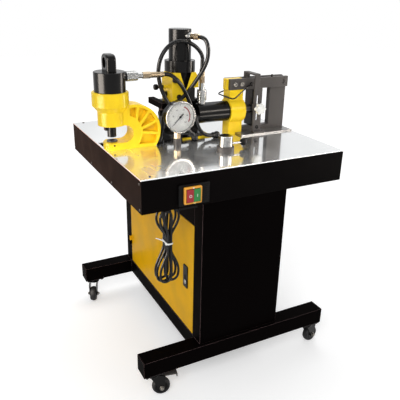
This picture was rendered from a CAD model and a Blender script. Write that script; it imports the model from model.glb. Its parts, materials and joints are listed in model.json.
"""Dresses the busbar processing machine: paint, metal and rubber finishes on its solids, and
the hoses, power cord, screws and small fittings that the solids leave plain.
"""

import json
import math
from functools import partial

import bmesh
import bpy
from bpy.props import FloatProperty, FloatVectorProperty, IntProperty, PointerProperty
from mathutils import Matrix, Vector


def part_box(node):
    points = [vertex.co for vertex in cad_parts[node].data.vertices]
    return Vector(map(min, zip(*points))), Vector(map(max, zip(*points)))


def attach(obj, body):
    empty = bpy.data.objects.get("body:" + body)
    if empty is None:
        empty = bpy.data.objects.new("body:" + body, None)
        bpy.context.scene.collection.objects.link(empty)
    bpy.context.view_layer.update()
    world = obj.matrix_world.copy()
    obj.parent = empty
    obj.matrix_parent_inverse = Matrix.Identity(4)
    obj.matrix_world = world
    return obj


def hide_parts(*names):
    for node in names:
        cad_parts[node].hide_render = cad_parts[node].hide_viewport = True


bl_info = {
    "name": "Busbar processing machine",
    "version": (1, 0, 0),
    "blender": (4, 5, 0),
    "location": "View3D > Sidebar > Busbar",
    "description": "Finishes, hoses, cord and small fittings of a busbar processing machine",
    "category": "Object",
}

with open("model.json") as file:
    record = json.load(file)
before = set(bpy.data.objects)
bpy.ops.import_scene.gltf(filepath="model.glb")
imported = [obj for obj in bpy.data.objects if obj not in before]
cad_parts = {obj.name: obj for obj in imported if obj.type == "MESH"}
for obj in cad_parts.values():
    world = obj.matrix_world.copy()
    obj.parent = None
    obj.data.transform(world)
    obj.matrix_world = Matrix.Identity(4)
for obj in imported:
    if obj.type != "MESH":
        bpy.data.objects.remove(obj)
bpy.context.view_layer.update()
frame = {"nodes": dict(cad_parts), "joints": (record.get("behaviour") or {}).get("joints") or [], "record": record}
NODES = frame["nodes"]
MM = 0.001


def box_mm(node):
    """Lowest and highest corner of a node, in millimetres."""
    return tuple(Vector(corner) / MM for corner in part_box(node))


LEFT = (-1, 0, 0)
RIGHT = (1, 0, 0)
FRONT = (0, -1, 0)
UP = (0, 0, 1)
QUARTER_TURN = math.pi / 2
WHITE = (1, 1, 1, 1)
TABLE_LOW, TABLE_HIGH = box_mm("table_top")

# Length of each hose in metres, and control points of its route in millimetres
HOSE_ROUTES = {
    "punch_hose": (0.314, (
        (-139, -18, 1037), (-117, -18, 1037), (-94, -25, 1020), (-73, -30, 994), (-55, -34, 959),
        (-40, -37, 920), (-25, -40, 882), (-16, -41.5, 852), (-1, -43, 827), (21, -45, 813),
        (43, -45, 813),
    )),
    "cutter_hose": (0.429, (
        (-10.534, -29.452, 1156), (-3.010, -50.125, 1156), (3, -64, 1139), (6, -68, 1113),
        (5, -64, 1084), (-3, -52, 1052), (-17, -37, 1020), (-35, -23, 986), (-57, -16, 958),
        (-89, -19, 938), (-122, -28, 928), (-142, -33, 911), (-148, -33, 881),
        (-146.786, -32, 850.754), (-154.054, -32, 829.989),
    )),
    "bender_hose": (0.545, (
        (20, 2, 1044), (20, 2, 1066), (21, 2, 1090), (-1, 2, 1118), (-30, 3, 1136),
        (-59, 4, 1143), (-89, 5, 1138), (-116, 5, 1121), (-137, 4, 1094), (-148, 3, 1060),
        (-149, 2, 1024), (-140, 0.5, 985), (-125, -4, 950), (-106, -12, 915), (-87, -26, 880),
        (-71, -40, 855), (-57.016, -46.994, 845.423), (-44.907, -51.397, 827.590),
    )),
}

# Hank of the power cord: its length in metres, the rest in millimetres
HANK_MIDDLE = -261
HANK_FRONT = -339.5
HANK_TOP = 662
HANK_WAIST = 570
HANK_BOTTOM = 454
HANK_LOOPS = 5
HANK_LAYER = 8.9
HANK_BACK = HANK_FRONT + HANK_LAYER * (HANK_LOOPS - 1)
WAIST_HALF = 4.7
LOOP_HALF = 19
LOOP_SPREAD = 2.5
LOOP_LEAN = 13
GLAND_RUN = (
    (-257, -350, 736), (-265, -350, 736), (-275.8, -350, 736), (-291, -350, 720.8), (-291, -350, 710),
)
PLUG_RUN = ((-252.5, HANK_BACK, 696), (-252.5, HANK_BACK, 704))

# Tie round the hank's waist: its loop, head and free end
TIE_HALF_WIDTH = 9.6
TIE_HALF_DEPTH = 22.5
TIE_ROUND = 4
TIE_BAND = (5, 1.2)
TIE_HEAD = ((-275, -341, 566.2), (-270, -334, 573.8))
TIE_TAIL = (
    (-273, -337, 572), (-277, -336, 577), (-284, -334, 583), (-293, -331, 588), (-303, -328, 592),
)
TIE_TAIL_BAND = (3.6, 1.0)
TIE_TAIL_ACROSS = (0.35, -0.1, 0.2)

# Screws by kind: place in millimetres, and facing
PANEL_SCREWS = [((TABLE_LOW.x, y, z), LEFT) for y, z in (
    (-347, 704), (-89.96, 704), (138.5, 704), (367, 704), (-347, 785), (367, 785),
)] + [((x, y, TABLE_HIGH.z), UP) for x, y in (
    (-324, -339), (-322, 365), (-87, -108), (-19, -140), (59, -225),
)] + [((250, -60, 812), UP)]
HOUSING_SCREWS = [((-86, 5, 1010), FRONT), ((-69, 5, 951), FRONT), ((-94, 57, 955), LEFT)]
BAR_SCREWS = [((146, -22, 985.5), FRONT), ((174, -22, 985.5), FRONT)]
BRACKET_SCREW = ((227, -56, 828), FRONT)
END_POST = ((310.2, -16, 1005), UP)
DIE_SCREW = ((-331, -50, 816), FRONT)

# Side knobs: place, and length of the stud behind the knob
SIDE_KNOBS = (((-94, 89, 975), 22), ((-112, 57, 886), 0))
KNOB_RADIUS = 10
KNOB_RIDGES = 28
KNOB_RIDGE = ((-0.5, -0.5, 0), (0.5, 0.5, 9))
KNOB_RIDGE_START = 1.9

# Couplers: radius at the knurls' feet, place of the first row, and direction
COUPLERS = ((16.2, (-271, -18, 1037), RIGHT), (17.2, (20, 2, 936), UP))
KNURL_ROWS = 7
KNURL_PITCH = 4.5
KNURL_FOOT = 2.6
KNURL_TIP = 0.4
KNURL_HEIGHT = 1.8

# Crimps of the hoses: count, place of the first one, and direction
CRIMPS = (
    (4, (-180, -18, 1037), RIGHT),
    (2, (20, 2, 1022), UP),
    (2, (-15.4, -16.1, 1156), (0.342, -0.94, 0)),
)
CRIMP_PITCH = 9

# Gauge: the middle of the dial's face, and what is printed on it. Rings and arcs are given by
# their radii and heights, ticks by their length and width
GAUGE_CENTRE = (-106, -84.75, 901)
DIAL_START = math.radians(225)
DIAL_SWEEP = math.radians(270)
TICK_RADIUS = 45.2
TICK_HEIGHT = 0.15
SHORT_TICK = (3.2, 0.45)
LONG_TICK = (6.5, 0.9)
LONG_TICKS = 11
NUMBERS = (0, 20, 40, 60, 80, 100)
NUMBER_RADIUS = 27
NUMBER_RISE = 0.07
NUMBER_HALF_HEIGHT = 0.06
HUB_RING = (9.5, 10, 0, 0.12)
ARC_BAND = (34.4, 38.4, 0.06, 0.18)
ARC_START = math.radians(68)
ARC_SWEEP = math.radians(-99)
POINTER = ((4, -1.1, 1.7), (37, 1.1, 2.1))
POINTER_TAIL = ((-16, -2.4, 1.7), (-4, 2.4, 2.1))
LENS_RADIUS = 49.1
LENS_TINT = (0.2, 0.2, 0.2, 1)
LENS_ALPHA = 0.1

# Switch: places from the plate's middle, heights from its face or a button's
LAMP_RISE = 23.8
RING_PLACE = (3.5, -23)
RING_BAND = (2.4, 4, -0.1, 1)
MARK_OFFSET = 11.5
STOP_BAND = (3.2, 4.6, -0.1, 0.25)
START_HALF = (0.8, 4.6)
START_HEIGHTS = (-0.1, 0.25)
RIM_WIDTH = 1.6
RIM_HEIGHTS = (-0.2, 0.3)
VENT_RIB = ((-164, -368, 706), (-145, -366.8, 709))
VENT_COUNT = 9
VENT_PITCH = 6.4

# Brake pedal's ribs, from its hinge, and motor fins
PEDAL_RIB = ((12, -11, 4.2), (14.2, 11, 5.4))
PEDAL_RIBS = 5
PEDAL_PITCH = 7
MOTOR_FOOT = (4.5, -20, 438)
MOTOR_RADIUS = 73.5
FIN = ((-1, -1.1, 0), (3.4, 1.1, 180))

# Stage, in metres. The strip lights show only on shiny surfaces
STAGE_TARGET = (0, 0, 0.8)
KEY_PLACE = (-1.9, -2.6, 2.9)
KEY_SIZE = (1.8, 1.8)
TOP_PLACE = (0.4, 0.9, 3.2)
TOP_SIZE = (2.2, 2.2)
STRIP_TARGET = (-0.1, 0, 1.05)
STRIP_TINT = (1.0, 0.9, 0.8)
STRIPS = {
    "left_strip": ((-1.4, -0.2, 1.05), (0.8, 1.2)),
    "right_strip": ((1.4, -0.5, 1.05), (0.25, 1.2)),
    "front_bar": ((0.9, -1.3, 1.45), (0.9, 0.2)),
}
FLOOR_CORNERS = ((-9, -9), (9, 9))
FLOOR_SHADES = ((0.8, 0.8, 0.8, 1), (0.84, 0.84, 0.84, 1))
# Distances between which the floor's glow grows, and its strength at both
FLOOR_GLOW = (0.8, 3.5, 0.4, 0.75)
BOARD_CORNERS = ((-1.8, 0.7), (-0.7, 4.5))
BOARD_HEIGHT = 0.01
BOARD_BROWN = (1, 0.4, 0.2, 1)
BOARD_GLOW = 1.1
CAMERA_PLACE = (-0.857, -1.660, 1.310)
CAMERA_HEADING = math.radians(27.9)
CAMERA_DIP = math.radians(22.23)
CAMERA_ROLL = math.radians(1.29)
SENSOR_WIDTH = 36


def srgb(text):
    """Linear colour from a hexadecimal one."""
    parts = [int(text[i:i + 2], 16) / 255 for i in (0, 2, 4)]
    return tuple(p / 12.92 if p <= 0.04045 else ((p + 0.055) / 1.055) ** 2.4 for p in parts)


def tint(colour, share):
    """Paler or darker form of a colour, with its alpha."""
    return (*(min(1.0, part * share) for part in colour), 1.0)


class Wire:
    """A socket of a node tree. Sums and products on it add Math nodes."""

    def __init__(self, graph, socket):
        self.graph = graph
        self.socket = socket

    def maths(self, operation, *values):
        """A Math node on these values."""
        return self.graph.node("ShaderNodeMath", {"operation": operation}, values)

    def only(self, operation):
        """A Math node on this value alone."""
        return self.maths(operation, self)

    def __add__(self, other):
        return self.maths("ADD", self, other)

    def __sub__(self, other):
        return self.maths("SUBTRACT", self, other)

    def __rsub__(self, other):
        return self.maths("SUBTRACT", other, self)

    def __mul__(self, other):
        return self.maths("MULTIPLY", self, other)

    def __truediv__(self, other):
        return self.maths("DIVIDE", self, other)

    def __gt__(self, other):
        return self.maths("GREATER_THAN", self, other)

    def __lt__(self, other):
        return self.maths("LESS_THAN", self, other)

    __radd__ = __add__
    __rmul__ = __mul__


class Graph:
    """Adds nodes to one tree, of a finish or of a geometry."""

    def __init__(self, tree):
        self.tree = tree
        self.spot = None

    def node(self, kind, settings=None, sockets=(), out=0):
        """Add a node: its settings first, then its sockets by place or by name."""
        node = self.tree.nodes.new(kind)
        for key, value in (settings or {}).items():
            setattr(node, key, value)
        pairs = sockets.items() if isinstance(sockets, dict) else enumerate(sockets)
        for key, value in pairs:
            socket = find_socket(node.inputs, key)
            if isinstance(value, Wire):
                self.tree.links.new(value.socket, socket)
            else:
                socket.default_value = value
        return Wire(self, find_socket(node.outputs, out)) if node.outputs else None

    def place(self):
        """The point's place on its own object, in metres."""
        if self.spot is None:
            self.spot = self.node("ShaderNodeTexCoord", out="Object")
        return self.spot

    def along(self, axis):
        """One coordinate of the point's place."""
        return self.node("ShaderNodeSeparateXYZ", None, (self.place(),), axis)

    def noise(self, scale, detail=2.0, stretch=(1, 1, 1)):
        """Cloudy value around a half; a stretch makes it streaky."""
        spot = self.node("ShaderNodeMapping", None, {"Vector": self.place(), "Scale": stretch})
        sockets = {"Vector": spot, "Scale": scale, "Detail": detail}
        return self.node("ShaderNodeTexNoise", None, sockets, "Fac")

    def spread(self, value, low, high, start=0.0, end=1.0):
        """A value between two limits, moved to two others and held there."""
        sockets = {"Value": value, "From Min": low, "From Max": high, "To Min": start, "To Max": end}
        return self.node("ShaderNodeMapRange", None, sockets, "Result")

    def mix(self, first, second, share):
        """A colour between two others."""
        sockets = {"Factor_Float": share, "A_Color": first, "B_Color": second}
        return self.node("ShaderNodeMix", {"data_type": "RGBA"}, sockets, "Result_Color")

    def edges(self, radius):
        """Softened normal, and how much of an edge the point lies on."""
        soft = self.node("ShaderNodeBevel", {"samples": 4}, {"Radius": radius}, "Normal")
        flat = self.node("ShaderNodeNewGeometry", None, (), "Normal")
        match = self.node("ShaderNodeVectorMath", {"operation": "DOT_PRODUCT"}, (soft, flat), "Value")
        return soft, self.spread(match, 0.99, 0.75)

    def bump(self, height, strength, distance, normal):
        """Normal of a surface with a fine relief."""
        sockets = {"Height": height, "Strength": strength, "Distance": distance, "Normal": normal}
        return self.node("ShaderNodeBump", None, sockets, "Normal")

    def surface(self, sockets):
        """A surface shader."""
        return self.node("ShaderNodeBsdfPrincipled", None, sockets, "BSDF")

    def zones(self, mask, first, second):
        """Two surfaces, the second where the mask is one."""
        return self.node("ShaderNodeMixShader", None, (mask, first, second))

    def seen(self):
        """One for what the camera, metal and glass see, and zero for light."""
        names = ("Is Camera Ray", "Is Glossy Ray", "Is Transmission Ray")
        camera, glossy, through = (self.node("ShaderNodeLightPath", None, (), name) for name in names)
        return self.spread(camera + glossy + through, 0, 1)


def blank_graph(owner):
    """Graph on the emptied node tree of a material or world."""
    owner.use_nodes = True
    owner.node_tree.nodes.clear()
    return Graph(owner.node_tree)


def find_socket(sockets, key):
    """A node's socket by its place, identifier or name."""
    if isinstance(key, int):
        return sockets[key]
    for socket in sockets:
        if key in (socket.identifier, socket.name):
            return socket
    raise KeyError(key)


# Finishes


def enamel(g, colour, roughness, peel=420, lift=0.06, worn=1.3, level=0.5):
    """Paint with orange peel, cloudy gloss and paler edges."""
    soft, edge = g.edges(0.0013)
    cloud = g.noise(11, 4)
    shade = g.mix(tint(colour, 0.9), tint(colour, 1.06), g.spread(cloud, 0.3, 0.7))
    shade = g.mix(shade, tint(colour, worn), edge * 0.7)
    relief = g.noise(peel, 2) + g.noise(60, 2) * 0.6
    return g.surface({
        "Base Color": shade,
        "Roughness": g.spread(cloud, 0.25, 0.75, roughness * 0.85, roughness * 1.2),
        "Specular IOR Level": level,
        "Normal": g.bump(relief, lift, 0.0006, soft),
    })


def bare_metal(g, colour, roughness, brush=(60, 900, 900), lift=0.04, dull=0.85):
    """Metal with fine lines from grinding or turning, and brighter edges."""
    soft, edge = g.edges(0.0009)
    lines = g.noise(1, 3, brush)
    cloud = g.noise(16, 4)
    streaks = g.spread(lines * 0.5 + cloud * 0.5, 0.35, 0.65)
    shade = g.mix(tint(colour, dull), tint(colour, 1.05), streaks)
    shade = g.mix(shade, tint(colour, 1.2), edge * 0.5)
    return g.surface({
        "Base Color": shade,
        "Metallic": 1.0,
        "Roughness": g.spread(lines * 0.6 + cloud * 0.4, 0.3, 0.7, roughness * 0.75, roughness * 1.3),
        "Normal": g.bump(lines, lift, 0.0003, soft),
    })


def moulding(g, colour, roughness, grain=900, lift=0.05, level=0.4):
    """Plastic or rubber with a fine grain and a soft bloom."""
    soft, edge = g.edges(0.0008)
    bloom = g.noise(25, 4)
    shade = g.mix(tint(colour, 0.88), tint(colour, 1.1), g.spread(bloom, 0.3, 0.7))
    shade = g.mix(shade, tint(colour, 1.25), edge * 0.5)
    return g.surface({
        "Base Color": shade,
        "Roughness": g.spread(bloom, 0.3, 0.7, roughness * 0.85, roughness * 1.2),
        "Specular IOR Level": level,
        "Normal": g.bump(g.noise(grain, 2), lift, 0.0004, soft),
    })


def mirror_sheet(g, colour, roughness):
    """Polished stainless sheet with a haze, wiping marks and hairline scratches."""
    soft, edge = g.edges(0.0012)
    wipe = g.noise(5, 4, (1, 0.35, 1))
    hairs = g.noise(1, 2, (30, 1400, 1400))
    shade = g.mix(tint(colour, 0.94), tint(colour, 1.04), g.spread(wipe, 0.3, 0.7))
    layers = []
    for rough in (roughness, 0.38):
        layers.append(g.surface({
            "Base Color": g.mix(shade, tint(colour, 1.15), edge),
            "Metallic": 1.0,
            "Roughness": g.spread(wipe * 0.7 + hairs * 0.3, 0.3, 0.7, rough * 0.7, rough * 1.4),
            "Normal": g.bump(hairs, 0.012, 0.0002, soft),
        }))
    return g.zones(g.spread(wipe, 0.3, 0.7, 0.12, 0.28), *layers)


def clear_lens(g):
    """Thin clear pane of the gauge."""
    smear = g.noise(40, 3)
    return g.surface({
        "Base Color": LENS_TINT,
        "Roughness": g.spread(smear, 0.3, 0.7, 0.02, 0.08),
        "Alpha": LENS_ALPHA,
    })


# How fine a metal's lines are along X, Y and Z
BRUSH_COARSE = (260, 260, 260)
BRUSH_MEDIUM = (400, 400, 400)
BRUSH_FINE = (500, 500, 500)
BRUSH_UPRIGHT = (500, 500, 60)
# Surface of each material slot
FINISHES = {
    "black_paint": partial(enamel, roughness=0.42, peel=700, lift=0.05, worn=30.0, level=0.02),
    "matt_black": partial(enamel, roughness=0.5, peel=700, lift=0.05, worn=220.0, level=0.006),
    "door_yellow": partial(enamel, roughness=0.4, peel=650, worn=1.15, level=0.04),
    "cast_yellow": partial(enamel, roughness=0.2, peel=380, worn=1.1, level=0.1),
    "black_steel": partial(enamel, roughness=0.22, peel=500, lift=0.012, worn=3.0, level=0.15),
    "dark_steel": partial(enamel, roughness=0.4, peel=800, lift=0.03, worn=1.6, level=0.2),
    "motor_paint": partial(enamel, roughness=0.4),
    "ground_steel": partial(bare_metal, roughness=0.3),
    "zinc_steel": partial(bare_metal, roughness=0.32, brush=BRUSH_FINE, lift=0.02),
    "chrome": partial(bare_metal, roughness=0.1, brush=BRUSH_MEDIUM, lift=0.01, dull=0.92),
    "knurled_steel": partial(bare_metal, roughness=0.2, brush=BRUSH_MEDIUM, lift=0.02, dull=0.8),
    "brass": partial(bare_metal, roughness=0.26, brush=BRUSH_UPRIGHT, lift=0.03),
    "cast_aluminium": partial(bare_metal, roughness=0.45, brush=BRUSH_COARSE, lift=0.08),
    "polished_sheet": partial(mirror_sheet, roughness=0.1),
    "switch_yellow": partial(moulding, roughness=0.3),
    "ring_yellow": partial(moulding, roughness=0.3),
    "wheel_rubber": partial(moulding, roughness=0.55, level=0.25),
    "hose_rubber": partial(moulding, roughness=0.17, grain=1200, lift=0.02, level=0.2),
    "black_plastic": partial(moulding, roughness=0.36, level=0.1),
    "grey_plastic": partial(moulding, roughness=0.42),
    "white_plastic": partial(moulding, roughness=0.35),
    "dial_white": partial(moulding, roughness=0.5, grain=1500, lift=0.01),
    "green_plastic": partial(moulding, roughness=0.3),
    "red_plastic": partial(moulding, roughness=0.3),
    "dial_ink": partial(moulding, roughness=0.6),
}
# Finishes whose colour has another name
COLOUR_NAMES = {
    "matt_black": "black_paint",
    "hose_rubber": "hose_black",
    "green_plastic": "start_green",
    "red_plastic": "stop_red",
    "dial_ink": "black_plastic",
}
# Nodes whose black paint is matt
MATT_NODES = ("stand_frame", "cabinet_panels", "cutter_arm")
# Nodes with two finishes: axis, border in metres, finish below the border and finish above it
SPLIT_NODES = {
    "gauge_case": ("Y", -0.0841, "chrome", "black_steel"),
    "valve_lever": ("X", 0.069, "chrome", "black_plastic"),
    "gauge_stem": ("Z", 0.822, "dark_steel", "brass"),
    "coupler_sleeves": ("X", -0.2728, "black_steel", "knurled_steel"),
    "brass_hose_ends": ("Z", 0.87, "hose_rubber", "brass"),
}
# Node whose yellow paint leaves some places black
HOUSING = "cutter_frame"


def plain_surface(g, slot):
    """The surface of one material slot, or of the gauge's pane."""
    if slot == "clear_lens":
        return clear_lens(g)
    looks = bpy.context.scene.busbar_finishes
    return FINISHES[slot](g, getattr(looks, COLOUR_NAMES.get(slot, slot)))


def split_surface(g, node):
    """The surface of a node with two finishes."""
    axis, border, below, above = SPLIT_NODES[node]
    return g.zones(g.along(axis) > border, plain_surface(g, below), plain_surface(g, above))


def housing_surface(g):
    """Yellow housing whose notch, lower corner and foot plate show black steel."""
    notch_x, notch_foot, notch_slope = -0.042, 0.970, 0.344
    notch_front, notch_back = 0.0054, 0.0215
    corner_x, corner_rise, plate_top = -0.031, 0.010, 0.807
    foot_x, foot_top = -0.066, 0.8061
    skin = 0.001
    x, y, z = (g.along(axis) for axis in "XYZ")
    up = z - notch_foot
    aside = (x - notch_x).only("ABSOLUTE")
    inside = (y > notch_front) * (y < notch_back)
    notch = (aside < up * notch_slope + skin) * inside * (up > -skin)
    corner = (x > corner_x) * (up < corner_rise) * (z > plate_top)
    foot = (x < foot_x) * (z < foot_top)
    black = g.spread(notch + corner + foot, 0, 1)
    return g.zones(black, plain_surface(g, "cast_yellow"), plain_surface(g, "black_steel"))


def finish(name):
    """The material of a slot, or of a node with more than one finish, made once."""
    label = "finish_" + name
    material = bpy.data.materials.get(label)
    if material:
        return material
    material = bpy.data.materials.new(label)
    g = blank_graph(material)
    if name == HOUSING:
        shader = housing_surface(g)
    elif name in SPLIT_NODES:
        shader = split_surface(g, name)
    else:
        shader = plain_surface(g, name)
    g.node("ShaderNodeOutputMaterial", None, {"Surface": shader})
    return material


# Shapes


def hexagon(angle):
    """Share of a hexagon's corner radius at an angle."""
    return math.cos(math.pi / 6) / math.cos((angle + math.pi / 6) % (math.pi / 3) - math.pi / 6)


def cross(angle):
    """Share of a cross recess's reach at an angle."""
    side = min(abs(math.sin(angle)), abs(math.cos(angle)))
    return min(1.0, 0.3 / max(side, 0.01))


def turned(profile, steps=36):
    """Mesh turned about Z from (radius, height) or (radius, height, outline) in millimetres."""
    bm = bmesh.new()
    rings = []
    for radius, height, *outline in profile:
        if radius == 0:
            rings.append([bm.verts.new((0, 0, height * MM))])
            continue
        shape = outline[0] if outline else (lambda angle: 1.0)
        ring = []
        for i in range(steps):
            angle = 2 * math.pi * i / steps
            reach = radius * MM * shape(angle)
            ring.append(bm.verts.new((reach * math.cos(angle), reach * math.sin(angle), height * MM)))
        rings.append(ring)
    for low, high in zip(rings, rings[1:]):
        for i in range(steps):
            j = (i + 1) % steps
            if len(low) == 1:
                bm.faces.new((low[0], high[i], high[j]))
            elif len(high) == 1:
                bm.faces.new((low[i], low[j], high[0]))
            else:
                bm.faces.new((low[i], low[j], high[j], high[i]))
    for ring in (rings[0], rings[-1]):
        if len(ring) > 1:
            bm.faces.new(ring)
    return closed_mesh(bm)


def loft(rows, shut=False):
    """Mesh through rows of corners in millimetres; a shut one runs back into its first row."""
    bm = bmesh.new()
    rings = [[bm.verts.new(Vector(corner) * MM) for corner in row] for row in rows]
    following = rings[1:] + rings[:1] if shut else rings[1:]
    for here, there in zip(rings, following):
        for k in range(len(here)):
            m = (k + 1) % len(here)
            bm.faces.new((here[k], here[m], there[m], there[k]))
    if not shut:
        bm.faces.new(rings[0])
        bm.faces.new(rings[-1])
    return closed_mesh(bm)


def ring_band(inner, outer, low, high, steps=48, start=0.0, sweep=None):
    """Flat ring between two radii and two heights in millimetres, or with a sweep a part of one."""
    rows = []
    for i in range(steps if sweep is None else steps + 1):
        angle = start + (sweep or 2 * math.pi) * i / steps
        corners = ((inner, low), (outer, low), (outer, high), (inner, high))
        rows.append([(r * math.cos(angle), r * math.sin(angle), z) for r, z in corners])
    return loft(rows, sweep is None)


def ribbon(points, width, thick, across, shut=False):
    """Band of a rectangular section along points; across is the section's wide direction."""
    across = Vector(across).normalized()
    rows = []
    count = len(points)
    for i, point in enumerate(points):
        before = points[i - 1] if i or shut else points[0]
        after = points[(i + 1) % count] if i + 1 < count or shut else points[-1]
        run = (Vector(after) - Vector(before)).normalized()
        wide = across * width / 2
        deep = run.cross(across).normalized() * thick / 2
        offsets = (-wide - deep, wide - deep, wide + deep, deep - wide)
        rows.append([Vector(point) + offset for offset in offsets])
    return loft(rows, shut)


def block(low, high, round_off=0.4):
    """Box between two corners with rounded edges, in millimetres."""
    bm = bmesh.new()
    bmesh.ops.create_cube(bm, size=1)
    size = Vector(high) - Vector(low)
    middle = (Vector(high) + Vector(low)) / 2
    for vert in bm.verts:
        vert.co = Vector((c * s + m for c, s, m in zip(vert.co, size, middle))) * MM
    if round_off:
        bmesh.ops.bevel(
            bm, geom=bm.edges[:], offset=round_off * MM, segments=2, profile=0.5, affect="EDGES"
        )
    return closed_mesh(bm)


def closed_mesh(bm):
    """A mesh from the shape that was built, with its faces outwards."""
    bmesh.ops.recalc_face_normals(bm, faces=bm.faces[:])
    mesh = bpy.data.meshes.new("shape")
    bm.to_mesh(mesh)
    bm.free()
    return mesh


def towards(place, facing):
    """Matrix that stands a shape on a place, in millimetres, with its Z along a direction."""
    turn = Vector(facing).to_track_quat("Z", "Y").to_matrix().to_4x4()
    return Matrix.Translation(Vector(place) * MM) @ turn


def placed(mesh, matrix):
    """The mesh, moved."""
    mesh.transform(matrix)
    return mesh


def join(meshes):
    """One mesh from several, which are removed."""
    bm = bmesh.new()
    for mesh in meshes:
        bm.from_mesh(mesh)
        bpy.data.meshes.remove(mesh)
    joined = bpy.data.meshes.new("shape")
    bm.to_mesh(joined)
    bm.free()
    return joined


def add_object(name, data):
    """A new object in the scene."""
    obj = bpy.data.objects.new(name, data)
    bpy.context.scene.collection.objects.link(obj)
    return obj


def plain_mesh(obj):
    """The mesh that an object's modifiers or its text make."""
    depsgraph = bpy.context.evaluated_depsgraph_get()
    return bpy.data.meshes.new_from_object(obj.evaluated_get(depsgraph), depsgraph=depsgraph)


def piece(name, mesh, body, slot, material=None, angle=35, replaces=()):
    """Put a finished mesh in the scene, give it its finish and let it ride on a body."""
    mesh.name = name
    mesh.materials.clear()
    mesh.materials.append(finish(material or slot))
    mesh.shade_smooth()
    mesh.set_sharp_from_angle(angle=math.radians(angle))
    obj = add_object(name, mesh)
    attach(obj, body)
    if replaces:
        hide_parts(*replaces)


# Geometry trees for what repeats


def new_tree(name, *inputs):
    """An empty geometry tree for a shape and its material, with more named inputs, and their wires."""
    tree = bpy.data.node_groups.new(name, "GeometryNodeTree")
    tree.interface.new_socket("Geometry", in_out="OUTPUT", socket_type="NodeSocketGeometry")
    common = (("Geometry", "Geometry"), ("Shape", "Object"), ("Material", "Material"))
    for label, kind in (*common, *inputs):
        tree.interface.new_socket(label, in_out="INPUT", socket_type="NodeSocket" + kind)
    g = Graph(tree)
    group = tree.nodes.new("NodeGroupInput")
    wires = {s.name: Wire(g, s) for s in group.outputs if s.name}
    return g, wires


def end_tree(g, wires, sockets):
    """Put the shape on the points, make the copies real and give them their finish."""
    shape = g.node("GeometryNodeObjectInfo", None, {"Object": wires["Shape"]}, "Geometry")
    copies = g.node("GeometryNodeInstanceOnPoints", None, {"Instance": shape, **sockets})
    real = g.node("GeometryNodeRealizeInstances", None, {"Geometry": copies})
    done = g.node("GeometryNodeSetMaterial", None, {"Geometry": real, "Material": wires["Material"]})
    g.node("NodeGroupOutput", None, (done,))
    return g.tree


def turret_tree():
    """Shapes in rows round an axis, each turned outwards."""
    g, wires = new_tree(
        "turret", ("Count", "Int"), ("Per Row", "Int"), ("Radius", "Float"), ("Start", "Float"),
        ("Step", "Float"), ("Pitch", "Float"),
    )
    line = g.node("GeometryNodeMeshLine", None, {"Count": wires["Count"]})
    index = g.node("GeometryNodeInputIndex")
    row = (index / wires["Per Row"]).only("FLOOR")
    angle = wires["Start"] + index * wires["Step"] + row * wires["Step"] * 0.5
    across = angle.only("COSINE") * wires["Radius"]
    along = angle.only("SINE") * wires["Radius"]
    spot = g.node("ShaderNodeCombineXYZ", None, (across, along, row * wires["Pitch"]))
    points = g.node("GeometryNodeSetPosition", None, {"Geometry": line, "Position": spot})
    spin = g.node("ShaderNodeCombineXYZ", None, {"Z": angle})
    turn = g.node("FunctionNodeEulerToRotation", None, (spin,))
    return end_tree(g, wires, {"Points": points, "Rotation": turn})


def scatter_tree():
    """Shapes on the host's points, each facing its own way and turned at random."""
    g, wires = new_tree("scatter", ("Seed", "Int"))
    facing = g.node(
        "GeometryNodeInputNamedAttribute", {"data_type": "FLOAT_VECTOR"}, {"Name": "facing"}, "Attribute"
    )
    stand = g.node("FunctionNodeAlignRotationToVector", {"axis": "Z"}, {"Vector": facing}, "Rotation")
    limits = {"Min_001": 0.0, "Max_001": 2 * math.pi, "Seed": wires["Seed"]}
    spin = g.node("FunctionNodeRandomValue", {"data_type": "FLOAT"}, limits, "Value_001")
    twist = g.node("FunctionNodeAxisAngleToRotation", None, {"Axis": UP, "Angle": spin}, "Rotation")
    both = {"Rotation": stand, "Rotate By": twist}
    turn = g.node("FunctionNodeRotateRotation", {"rotation_space": "LOCAL"}, both)
    return end_tree(g, wires, {"Points": wires["Geometry"], "Rotation": turn})


def ladder_tree():
    """Shapes in a straight row."""
    g, wires = new_tree("ladder", ("Count", "Int"), ("Offset", "Vector"))
    line = g.node("GeometryNodeMeshLine", None, {"Count": wires["Count"], "Offset": wires["Offset"]})
    return end_tree(g, wires, {"Points": line})


TREES = {"turret": turret_tree, "scatter": scatter_tree, "ladder": ladder_tree}


def repeat(kind, shape, slot, host=None, **inputs):
    """Run a geometry tree on a shape and return the plain mesh that it makes."""
    tree = bpy.data.node_groups.get(kind) or TREES[kind]()
    template = add_object(kind + "_shape", shape)
    carrier = add_object(kind, host or bpy.data.meshes.new(kind))
    modifier = carrier.modifiers.new(kind, "NODES")
    modifier.node_group = tree
    values = {"Shape": template, "Material": finish(slot)}
    values.update({key.replace("_", " ").title(): value for key, value in inputs.items()})
    for item in tree.interface.items_tree:
        if item.in_out == "INPUT" and item.name in values:
            modifier[item.identifier] = values[item.name]
    mesh = plain_mesh(carrier)
    carrier.modifiers.remove(modifier)
    bpy.data.objects.remove(carrier)
    bpy.data.objects.remove(template)
    if not mesh.polygons:
        raise RuntimeError(f"the {kind} tree made nothing")
    return mesh


def turret(shape, slot, count, radius, rows=1, pitch=0, start=0.0, step=None):
    """Rows of a shape round Z, with the radius and the rows' pitch in millimetres."""
    return repeat(
        "turret", shape, slot, count=count * rows, per_row=count, radius=radius * MM,
        start=start, step=step or 2 * math.pi / count, pitch=pitch * MM,
    )


def ladder(shape, slot, count, offset):
    """A straight row of a shape, with its offset in millimetres."""
    return repeat("ladder", shape, slot, count=count, offset=tuple(Vector(offset) * MM))


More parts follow.
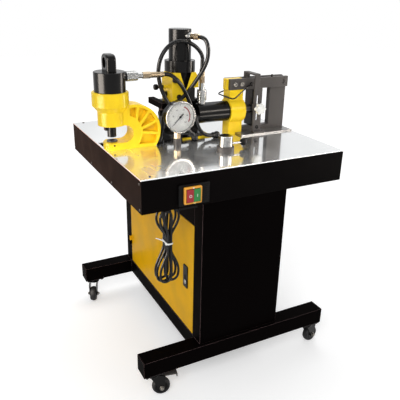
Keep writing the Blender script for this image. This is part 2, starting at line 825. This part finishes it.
def scatter(shape, slot, places, seed):
    """A shape on (place, facing) pairs, each turned at random."""
    host = bpy.data.meshes.new("places")
    host.from_pydata([Vector(place) * MM for place, _ in places], [], [])
    facing = host.attributes.new("facing", "FLOAT_VECTOR", "POINT")
    for item, (_, direction) in zip(facing.data, places):
        item.vector = direction
    return repeat("scatter", shape, slot, host, seed=seed)


def rubber_cord(name, node, points, diameter):
    """Smooth round cord on control points in millimetres, in place of a node."""
    curve = bpy.data.curves.new(name, "CURVE")
    curve.dimensions = "3D"
    curve.bevel_depth = diameter / 2
    curve.bevel_resolution = 5
    curve.use_fill_caps = True
    line = curve.splines.new("NURBS")
    line.points.add(len(points) - 1)
    for knot, point in zip(line.points, points):
        knot.co = (*(Vector(point) * MM), 1)
    line.order_u = 3
    line.use_endpoint_u = True
    line.resolution_u = 8
    curve.materials.append(finish("hose_rubber"))
    cord = add_object(name, curve)
    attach(cord, "bench")
    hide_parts(node)
    return cord


def bend(start, end):
    """Control points that leave one point and reach another upright."""
    rise = (end[2] - start[2]) / 4
    return [(start[0], start[1], start[2] + rise), (end[0], end[1], end[2] - rise), end]


def lobe(left, right, reach):
    """Control points of a half circle from one point to another, up or down by a reach."""
    cut = 0.414
    half = (right[0] - left[0]) / 2
    centre = (right[0] + left[0]) / 2
    y, z = left[1], left[2]
    return [
        (left[0], y, z + cut * reach), (centre - cut * half, y, z + reach),
        (centre + cut * half, y, z + reach), (right[0], y, z + cut * reach),
    ]


def hank_points():
    """Control points of the power cord, from the gland through the loops to the plug."""
    near, far = HANK_MIDDLE - WAIST_HALF, HANK_MIDDLE + WAIST_HALF
    points = list(GLAND_RUN) + bend(GLAND_RUN[-1], (near, HANK_FRONT, HANK_WAIST))
    for loop in range(HANK_LOOPS):
        y = HANK_FRONT + HANK_LAYER * loop
        centre = HANK_MIDDLE + (LOOP_LEAN if loop % 2 else -LOOP_LEAN)
        half = LOOP_HALF + LOOP_SPREAD * (loop % 3)
        left = (centre - half, y, HANK_BOTTOM)
        right = (centre + half, y, HANK_BOTTOM)
        points += bend((near, y, HANK_WAIST), left)[:2]
        points += lobe(left, right, -half)
        points += bend(right, (far, y, HANK_WAIST))
        if loop == HANK_LOOPS - 1:
            break
        left = (centre - half, y, HANK_TOP)
        right = (centre + half, y, HANK_TOP)
        points += bend((far, y, HANK_WAIST), right)[:2]
        points += lobe(right, left, half)
        points += bend(left, (near, y + HANK_LAYER, HANK_WAIST))
    return points + bend((far, HANK_BACK, HANK_WAIST), PLUG_RUN[0]) + [PLUG_RUN[1]]


# Settings


def colour(name, description, text):
    """A colour that a user may change."""
    return FloatVectorProperty(
        name=name, description=description, default=srgb(text), size=3, min=0, max=1, subtype="COLOR"
    )


def length(name, description, millimetres):
    """A length that a user may change."""
    return FloatProperty(
        name=name, description=description, default=millimetres * MM, min=0, unit="LENGTH", precision=4
    )


def amount(name, description, default, least):
    """A count that a user may change."""
    return IntProperty(name=name, description=description, default=default, min=least)


def power(name, description, watts):
    """A light's power that a user may change."""
    return FloatProperty(name=name, description=description, default=watts, min=0, unit="POWER")


class FinishColours(bpy.types.PropertyGroup):
    """Colours of the machine's finishes."""

    cast_yellow: colour("Casting yellow", "Enamel on the three tools", "FFD428")
    door_yellow: colour("Door yellow", "Powder coat on the cabinet door", "F7BA0C")
    switch_yellow: colour("Switch yellow", "Moulded frame of the switch", "F2A937")
    ring_yellow: colour("Ring yellow", "Pale ring on the switch", "FFE08A")
    black_paint: colour("Black paint", "Powder coat on the bench and stand", "060404")
    black_steel: colour("Black steel", "Gloss black on cylinders and castors", "090808")
    dark_steel: colour("Dark steel", "Blackened steel of the bending frame", "4A4644")
    ground_steel: colour("Ground steel", "Bare ground steel", "8F8E8D")
    zinc_steel: colour("Zinc steel", "Plated screws and axles", "7C7974")
    polished_sheet: colour("Polished sheet", "Stainless table top", "E3E5E6")
    chrome: colour("Chrome", "Rods, bezel and valve", "949391")
    knurled_steel: colour("Knurled steel", "Sleeves of the couplers", "9A9B9A")
    brass: colour("Brass", "Hose ends", "847661")
    cast_aluminium: colour("Cast aluminium", "Pump block", "B4B6B8")
    motor_paint: colour("Motor paint", "Pump motor", "55606C")
    wheel_rubber: colour("Wheel rubber", "Castor treads", "1C1C1D")
    hose_black: colour("Hose black", "Rubber of hoses and cord", "0F0F10")
    black_plastic: colour("Black plastic", "Switch box, knobs and ink", "0C0B0B")
    grey_plastic: colour("Grey plastic", "Brake pedal", "4A4643")
    white_plastic: colour("White plastic", "Star knob, tie and marks", "ECECE8")
    dial_white: colour("Dial white", "Face of the gauge", "E6E6E2")
    start_green: colour("Start green", "Start button", "23823C")
    stop_red: colour("Stop red", "Stop button and the dial's red arc", "A01824")


class FittingSizes(bpy.types.PropertyGroup):
    """Sizes of the fittings that the scene adds."""

    hose: length("Hose", "Outside diameter of the hydraulic hoses", 14)
    cord: length("Cord", "Outside diameter of the power cord", 8)
    knurls: amount("Knurls", "Knurls in each row on a coupler", 18, 8)
    ticks: amount("Ticks", "Small divisions on the dial", 50, 10)
    number: length("Number", "Height of the dial's numbers", 7)
    fins: amount("Fins", "Cooling fins round the motor", 32, 8)


class StageSettings(bpy.types.PropertyGroup):
    """Light and camera of the studio."""

    key: power("Key", "Power of the front light", 72)
    side: power("Side", "Power of the strip lights, for each square metre", 88)
    top: power("Top", "Power of the light above", 40)
    sky: FloatProperty(name="Sky", description="Share of light from all round", default=0.4, min=0, max=1)
    lens: FloatProperty(name="Lens", description="Focal length", default=46.67, min=10, unit="CAMERA")


# Operators


class BUSBAR_OT_stage(bpy.types.Operator):
    """Lay the pale floor and the brown board, hang the soft lights and set the camera"""

    bl_idname = "busbar.stage"
    bl_label = "Stage"

    def execute(self, context):
        stage = context.scene.busbar_stage
        context.scene.view_settings.view_transform = "Standard"
        world = bpy.data.worlds.new("studio")
        g = blank_graph(world)
        strength = stage.sky + g.seen() * (1 - stage.sky)
        sky = g.node("ShaderNodeBackground", None, {"Color": WHITE, "Strength": strength})
        g.node("ShaderNodeOutputWorld", None, {"Surface": sky})
        context.scene.world = world
        self.lay_floor()
        self.lay_board()
        self.hang_light("key_light", KEY_PLACE, STAGE_TARGET, KEY_SIZE, stage.key)
        for name, (place, size) in STRIPS.items():
            strip = self.hang_light(name, place, STRIP_TARGET, size, stage.side * size[0] * size[1])
            strip.visible_diffuse = False
            strip.data.color = STRIP_TINT
        self.hang_light("top_light", TOP_PLACE, STAGE_TARGET, TOP_SIZE, stage.top)
        self.set_camera(context, stage.lens)
        return {"FINISHED"}

    def lay_sheet(self, name, low, high, height):
        """A level sheet of the stage, and the graph of its empty material."""
        mesh = bpy.data.meshes.new(name)
        corners = ((low[0], low[1]), (high[0], low[1]), (high[0], high[1]), (low[0], high[1]))
        mesh.from_pydata([(x, y, height) for x, y in corners], [], [(0, 1, 2, 3)])
        material = bpy.data.materials.new(name)
        mesh.materials.append(material)
        sheet = add_object(name, mesh)
        return sheet, blank_graph(material)

    def lay_board(self):
        """Brown board beside the machine, which only reflections show."""
        board, g = self.lay_sheet("brown_board", *BOARD_CORNERS, BOARD_HEIGHT)
        glow = g.node("ShaderNodeEmission", None, {"Color": BOARD_BROWN, "Strength": BOARD_GLOW})
        g.node("ShaderNodeOutputMaterial", None, {"Surface": glow})
        board.visible_camera = board.visible_diffuse = board.visible_shadow = False

    def lay_floor(self):
        """Pale floor that keeps the machine's shadow."""
        _, g = self.lay_sheet("floor", *FLOOR_CORNERS, 0)
        shade = g.mix(*FLOOR_SHADES, g.noise(3, 2))
        matt = g.node("ShaderNodeBsdfDiffuse", None, {"Color": shade})
        away = g.node("ShaderNodeVectorMath", {"operation": "LENGTH"}, (g.place(),), "Value")
        white = g.seen() * g.spread(away, *FLOOR_GLOW)
        glow = g.node("ShaderNodeEmission", None, {"Color": WHITE, "Strength": white})
        both = g.node("ShaderNodeAddShader", None, (matt, glow))
        g.node("ShaderNodeOutputMaterial", None, {"Surface": both})

    def hang_light(self, name, place, target, size, watts):
        """A soft box that shines on a point."""
        lamp = bpy.data.lights.new(name, "AREA")
        lamp.shape = "RECTANGLE"
        lamp.size, lamp.size_y = size
        lamp.energy = watts
        light = add_object(name, lamp)
        light.location = place
        light.rotation_euler = (Vector(target) - Vector(place)).to_track_quat("-Z", "Y").to_euler()
        light.visible_camera = False
        return light

    def set_camera(self, context, lens):
        """Camera at the photograph's place and angle."""
        heading = Matrix.Rotation(-CAMERA_HEADING, 4, "Z")
        dip = Matrix.Rotation(QUARTER_TURN - CAMERA_DIP, 4, "X")
        roll = Matrix.Rotation(CAMERA_ROLL, 4, "Z")
        data = bpy.data.cameras.new("camera")
        data.lens = lens
        data.sensor_width = SENSOR_WIDTH
        camera = add_object("camera", data)
        camera.matrix_world = Matrix.Translation(CAMERA_PLACE) @ heading @ dip @ roll
        context.scene.camera = camera


class BUSBAR_OT_finishes(bpy.types.Operator):
    """Give every solid its paint, metal, plastic or rubber"""

    bl_idname = "busbar.finishes"
    bl_label = "Finishes"

    def execute(self, context):
        for part in frame["record"]["subparts"]:
            node = part["node"]
            name = part["material_slot"]
            if node in MATT_NODES:
                name = "matt_black"
            if node == HOUSING or node in SPLIT_NODES:
                name = node
            NODES[node].data.materials.clear()
            NODES[node].data.materials.append(finish(name))
        return {"FINISHED"}


class BUSBAR_OT_hoses(bpy.types.Operator):
    """Lay the three hydraulic hoses"""

    bl_idname = "busbar.hoses"
    bl_label = "Hoses"

    def execute(self, context):
        diameter = context.scene.busbar_fittings.hose
        for node, (run, points) in HOSE_ROUTES.items():
            hose = rubber_cord(node + "_rubber", node, points, diameter)
        return {"FINISHED"}


class BUSBAR_OT_power_cord(bpy.types.Operator):
    """Hang the power cord up as a hank with its tie"""

    bl_idname = "busbar.power_cord"
    bl_label = "Power cord"

    def execute(self, context):
        diameter = context.scene.busbar_fittings.cord
        points = hank_points()
        cord = rubber_cord("power_cord", "power_cord_hank", points, diameter)
        band = ribbon(self.tie_loop(), *TIE_BAND, UP, shut=True)
        head = block(*TIE_HEAD, round_off=0.8)
        tail = ribbon(TIE_TAIL, *TIE_TAIL_BAND, TIE_TAIL_ACROSS)
        piece("cord_tie", join([band, head, tail]), "bench", "white_plastic")
        return {"FINISHED"}

    def tie_loop(self):
        """Points of the tie's rounded loop round the hank's waist."""
        steps = 4
        loop = []
        for i, (aside, deep) in enumerate(((-1, -1), (1, -1), (1, 1), (-1, 1))):
            x = HANK_MIDDLE + aside * (TIE_HALF_WIDTH - TIE_ROUND)
            y = (HANK_FRONT + HANK_BACK) / 2 + deep * (TIE_HALF_DEPTH - TIE_ROUND)
            for step in range(steps + 1):
                angle = math.pi + QUARTER_TURN * (i + step / steps)
                spot = (x + TIE_ROUND * math.cos(angle), y + TIE_ROUND * math.sin(angle), HANK_WAIST)
                loop.append(spot)
        return loop


class BUSBAR_OT_screws(bpy.types.Operator):
    """Set the screws, the end block's post and the two side knobs"""

    bl_idname = "busbar.screws"
    bl_label = "Screws"

    def execute(self, context):
        pan = turned((
            (4, 0), (4, 0.9), (3.5, 1.7), (2.6, 2.3), (2.1, 2.4), (2, 2.4, cross),
            (1.7, 1.3, cross), (0, 1.1),
        ))
        post = turned(((4, 0), (4, 8.2), (3.3, 9), (0, 9)))
        panel = scatter(pan, "zinc_steel", PANEL_SCREWS, seed=3)
        bright = scatter(self.socket_head(8, 5), "zinc_steel", BAR_SCREWS, seed=5)
        dark = join([
            scatter(self.socket_head(9, 9), "black_steel", HOUSING_SCREWS, seed=7),
            scatter(self.socket_head(6.5, 5), "black_steel", [BRACKET_SCREW], seed=9),
            scatter(post, "black_steel", [END_POST], seed=11),
        ])
        die = turned((
            (3.4, -0.2), (3.4, 0.2), (2.4, 0.3), (2, 0.2, hexagon), (1.8, 0.05, hexagon), (0, 0.05),
        ))
        knobs = []
        for place, stud in SIDE_KNOBS:
            knobs += self.side_knob(place, stud)
        piece("die_screw", placed(die, towards(*DIE_SCREW)), "bench", "black_plastic")
        piece("panel_screws", panel, "bench", "zinc_steel", "dark_steel", replaces=("machine_screws",))
        piece("bar_screws", bright, "bench", "zinc_steel", replaces=("machine_screws",))
        piece("socket_screws", dark, "bench", "black_steel", replaces=("machine_screws",))
        piece("side_knobs", join(knobs), "bench", "black_plastic", replaces=("machine_screws",))
        return {"FINISHED"}

    def socket_head(self, radius, rise):
        """Head of a socket screw with its hexagon hole."""
        hole = radius * 0.52
        return turned((
            (radius, 0), (radius, rise - 0.7), (radius - 0.6, rise), (hole * 1.2, rise),
            (hole, rise - 0.3, hexagon), (hole, rise / 2, hexagon), (0, rise / 2),
        ))

    def side_knob(self, place, stud):
        """Knob with its stud, and the ridges round it."""
        profile = [(6, 0), (6, stud)] if stud else []
        for radius, rise in ((8.6, 0), (KNOB_RADIUS, 1.2), (KNOB_RADIUS, 11.5), (9, 13), (0, 13)):
            profile.append((radius, stud + rise))
        knob = placed(turned(profile), towards(place, LEFT))
        ridge = block(*KNOB_RIDGE, round_off=0.2)
        grip = turret(ridge, "black_plastic", KNOB_RIDGES, KNOB_RADIUS)
        foot = Vector(place) + Vector(LEFT) * (stud + KNOB_RIDGE_START)
        return [knob, placed(grip, towards(foot, LEFT))]


class BUSBAR_OT_couplers(bpy.types.Operator):
    """Knurl the quick couplers and crimp the hoses' ends"""

    bl_idname = "busbar.couplers"
    bl_label = "Couplers"

    def execute(self, context):
        knurls = context.scene.busbar_fittings.knurls
        grips = []
        for radius, place, facing in COUPLERS:
            grip = turret(self.tooth(), "knurled_steel", knurls, radius, KNURL_ROWS, KNURL_PITCH)
            grips.append(placed(grip, towards(place, facing)))
        piece("coupler_knurls", join(grips), "bench", "chrome", "knurled_steel", angle=20)
        crimp = turned(((9.2, 0), (10.1, 0.8), (10.1, 3.2), (9.2, 4)), steps=32)
        crimps = []
        for count, place, facing in CRIMPS:
            row = ladder(crimp, "brass", count, (0, 0, CRIMP_PITCH))
            crimps.append(placed(row, towards(place, facing)))
        piece("hose_crimps", join(crimps), "bench", "brass")
        return {"FINISHED"}

    def tooth(self):
        """One pointed knurl that faces along X."""
        bm = bmesh.new()
        sizes = {"radius1": KNURL_FOOT * MM, "radius2": KNURL_TIP * MM, "depth": KNURL_HEIGHT * MM}
        bmesh.ops.create_cone(bm, cap_ends=True, segments=4, **sizes)
        return placed(closed_mesh(bm), Matrix.Rotation(QUARTER_TURN, 4, "Y"))


class BUSBAR_OT_gauge(bpy.types.Operator):
    """Draw the gauge's scale, finish its needle and close it with its lens"""

    bl_idname = "busbar.gauge"
    bl_label = "Gauge"

    def execute(self, context):
        sizes = context.scene.busbar_fittings
        stand = towards(GAUGE_CENTRE, FRONT)
        upright = Matrix.Translation(Vector(GAUGE_CENTRE) * MM) @ Matrix.Rotation(QUARTER_TURN, 4, "X")
        marks = []
        for count, (reach, wide) in ((sizes.ticks + 1, SHORT_TICK), (LONG_TICKS, LONG_TICK)):
            tick = block((-reach, -wide / 2, 0), (0, wide / 2, TICK_HEIGHT), round_off=0)
            step = -DIAL_SWEEP / (count - 1)
            ring = turret(tick, "dial_ink", count, TICK_RADIUS, start=DIAL_START, step=step)
            marks.append(placed(ring, upright))
        for i, value in enumerate(NUMBERS):
            angle = DIAL_START - DIAL_SWEEP * i / (len(NUMBERS) - 1)
            spot = Vector((math.cos(angle), math.sin(angle), 0)) * NUMBER_RADIUS * MM
            number = self.number(str(value), sizes.number)
            marks.append(placed(number, upright @ Matrix.Translation(spot)))
        marks.append(placed(ring_band(*HUB_RING), stand))
        piece("dial_marks", join(marks), "bench", "black_plastic", "dial_ink")
        arc = ring_band(*ARC_BAND, steps=24, start=ARC_START, sweep=ARC_SWEEP)
        piece("dial_red_arc", placed(arc, upright), "bench", "red_plastic")
        pane = ((0, 6.3), (LENS_RADIUS, 6.3), (LENS_RADIUS, 7.2), (38, 7.6), (19, 7.9), (0, 8))
        piece("gauge_lens", placed(turned(pane, steps=64), stand), "bench", "dial_white", "clear_lens")
        hub = turned(((4.2, 1.8), (4.2, 2.6), (3.4, 3.2), (1.6, 3.5), (0, 3.55)), steps=28)
        piece("needle_hub", placed(hub, stand), "needle", "black_plastic")
        pointer = block(*POINTER, round_off=0.2)
        tail = block(*POINTER_TAIL, round_off=0.2)
        arms = placed(join([pointer, tail]), Matrix.Rotation(DIAL_START, 4, "Z"))
        piece("needle_arms", placed(arms, upright), "needle", "black_plastic")
        return {"FINISHED"}

    def number(self, text, height):
        """One number of the scale as a thin mesh about its middle."""
        curve = bpy.data.curves.new("number", "FONT")
        curve.body = text
        curve.size = height
        curve.align_x = "CENTER"
        curve.align_y = "CENTER"
        curve.extrude = NUMBER_HALF_HEIGHT * MM
        obj = add_object("number", curve)
        mesh = plain_mesh(obj)
        bpy.data.objects.remove(obj)
        return placed(mesh, Matrix.Translation((0, 0, NUMBER_RISE * MM)))


class BUSBAR_OT_switch(bpy.types.Operator):
    """Add the switch's vents, lamp, ring, rim and button marks"""

    bl_idname = "busbar.switch"
    bl_label = "Switch"

    def execute(self, context):
        low, high = box_mm("switch_plate")
        face = low.y
        x, z = (low.x + high.x) / 2, (low.z + high.z) / 2
        vents = ladder(block(*VENT_RIB, round_off=0.5), "black_plastic", VENT_COUNT, (0, 0, VENT_PITCH))
        piece("switch_vents", vents, "bench", "black_plastic")
        lamp = turned(((2.4, 0), (2.4, 0.5), (1.7, 1.3), (0, 1.6)), steps=24)
        lamp = placed(lamp, towards((x, face, z + LAMP_RISE), FRONT))
        piece("switch_lamp", lamp, "bench", "white_plastic")
        spot = (x + RING_PLACE[0], face, z + RING_PLACE[1])
        ring = placed(ring_band(*RING_BAND, steps=32), towards(spot, FRONT))
        piece("switch_ring", ring, "bench", "switch_yellow", "ring_yellow")
        piece("switch_rim", self.rim(face), "bench", "black_plastic")
        top = box_mm("stop_button")[0].y
        off = placed(ring_band(*STOP_BAND, steps=32), towards((x - MARK_OFFSET, top, z), FRONT))
        piece("stop_mark", off, "halt", "white_plastic")
        middle = x + MARK_OFFSET
        wide, tall = START_HALF
        back, front = (top - rise for rise in START_HEIGHTS)
        on = block((middle - wide, front, z - tall), (middle + wide, back, z + tall), round_off=0.1)
        piece("start_mark", on, "start", "white_plastic")
        return {"FINISHED"}

    def rim(self, face):
        """Four flat strips round the two buttons."""
        low, high = box_mm("stop_button")
        left, right = low.x, box_mm("start_button")[1].x
        under, over = low.z - RIM_WIDTH, high.z + RIM_WIDTH
        back, front = (face - rise for rise in RIM_HEIGHTS)
        strips = []
        for x_low, z_low, x_high, z_high in (
            (left - RIM_WIDTH, under, left, over), (right, under, right + RIM_WIDTH, over),
            (left, under, right, low.z), (left, high.z, right, over),
        ):
            strips.append(block((x_low, front, z_low), (x_high, back, z_high), round_off=0.1))
        return join(strips)


class BUSBAR_OT_castors(bpy.types.Operator):
    """Add axle nuts, hub caps and the brake pedal's ribs"""

    bl_idname = "busbar.castors"
    bl_label = "Castors"

    def execute(self, context):
        nut = (
            (8.2, 17), (8.2, 18), (7.4, 18.2, hexagon), (7.4, 22.6, hexagon), (4.2, 23),
            (4, 25), (3.4, 25.6), (0, 25.6),
        )
        cap = (
            (21, 11.4), (21, 12.3), (20, 12.9), (17, 12.4), (9, 12.4), (8, 13.2), (5, 13.2), (5, 11.4),
        )
        joints = {joint["name"]: joint for joint in frame["joints"]}
        for name, joint in joints.items():
            if not name.startswith("roll_"):
                continue
            corner = name.removeprefix("roll_")
            nuts = self.both_sides(nut, 36, joint)
            caps = self.both_sides(cap, 40, joint)
            piece("axle_nuts_" + corner, nuts, "fork_" + corner, "zinc_steel")
            piece("hub_caps_" + corner, caps, "wheel_" + corner, "black_plastic")
        hinge = joints["pedal_tip"]
        axis = Vector(hinge["axis"])
        ribs = ladder(block(*PEDAL_RIB), "grey_plastic", PEDAL_RIBS, (PEDAL_PITCH, 0, 0))
        turn = Matrix((axis.cross(UP), axis, UP)).transposed().to_4x4()
        ribs.transform(Matrix.Translation(hinge["pos_m"]) @ turn)
        piece("pedal_ribs", ribs, "pedal", "grey_plastic")
        return {"FINISHED"}

    def both_sides(self, profile, steps, joint):
        """A turned shape on both ends of a wheel's axle."""
        centre = Vector(joint["pos_m"]) / MM
        axis = Vector(joint["axis"]).normalized()
        return join([placed(turned(profile, steps), towards(centre, axis * side)) for side in (-1, 1)])


class BUSBAR_OT_pump(bpy.types.Operator):
    """Add the pump motor's cooling fins"""

    bl_idname = "busbar.pump"
    bl_label = "Pump unit"

    def execute(self, context):
        count = context.scene.busbar_fittings.fins
        fins = turret(block(*FIN), "motor_paint", count, MOTOR_RADIUS)
        fins.transform(Matrix.Translation(Vector(MOTOR_FOOT) * MM))
        piece("motor_fins", fins, "bench", "motor_paint")
        return {"FINISHED"}


class BUSBAR_PT_machine(bpy.types.Panel):
    """Lists the machine's operators and settings"""

    bl_label = "Busbar machine"
    bl_idname = "BUSBAR_PT_machine"
    bl_space_type = "VIEW_3D"
    bl_region_type = "UI"
    bl_category = "Busbar"

    def draw(self, context):
        for operator in OPERATORS:
            self.layout.operator(operator.bl_idname)
        scene = context.scene
        for group in (scene.busbar_stage, scene.busbar_fittings, scene.busbar_finishes):
            box = self.layout.box()
            for name in group.__annotations__:
                box.prop(group, name)


SETTINGS = (FinishColours, FittingSizes, StageSettings)
OPERATORS = (
    BUSBAR_OT_stage, BUSBAR_OT_finishes, BUSBAR_OT_hoses, BUSBAR_OT_power_cord, BUSBAR_OT_screws,
    BUSBAR_OT_couplers, BUSBAR_OT_gauge, BUSBAR_OT_switch, BUSBAR_OT_castors, BUSBAR_OT_pump,
)


def register():
    for item in (*SETTINGS, *OPERATORS, BUSBAR_PT_machine):
        bpy.utils.register_class(item)
    bpy.types.Scene.busbar_finishes = PointerProperty(type=FinishColours)
    bpy.types.Scene.busbar_fittings = PointerProperty(type=FittingSizes)
    bpy.types.Scene.busbar_stage = PointerProperty(type=StageSettings)


def unregister():
    del bpy.types.Scene.busbar_finishes
    del bpy.types.Scene.busbar_fittings
    del bpy.types.Scene.busbar_stage
    for item in reversed((*SETTINGS, *OPERATORS, BUSBAR_PT_machine)):
        bpy.utils.unregister_class(item)


def main():
    register()
    bpy.ops.busbar.stage()
    bpy.ops.busbar.finishes()
    bpy.ops.busbar.hoses()
    bpy.ops.busbar.power_cord()
    bpy.ops.busbar.screws()
    bpy.ops.busbar.couplers()
    bpy.ops.busbar.gauge()
    bpy.ops.busbar.switch()
    bpy.ops.busbar.castors()
    bpy.ops.busbar.pump()


if __name__ == "__main__":
    main()
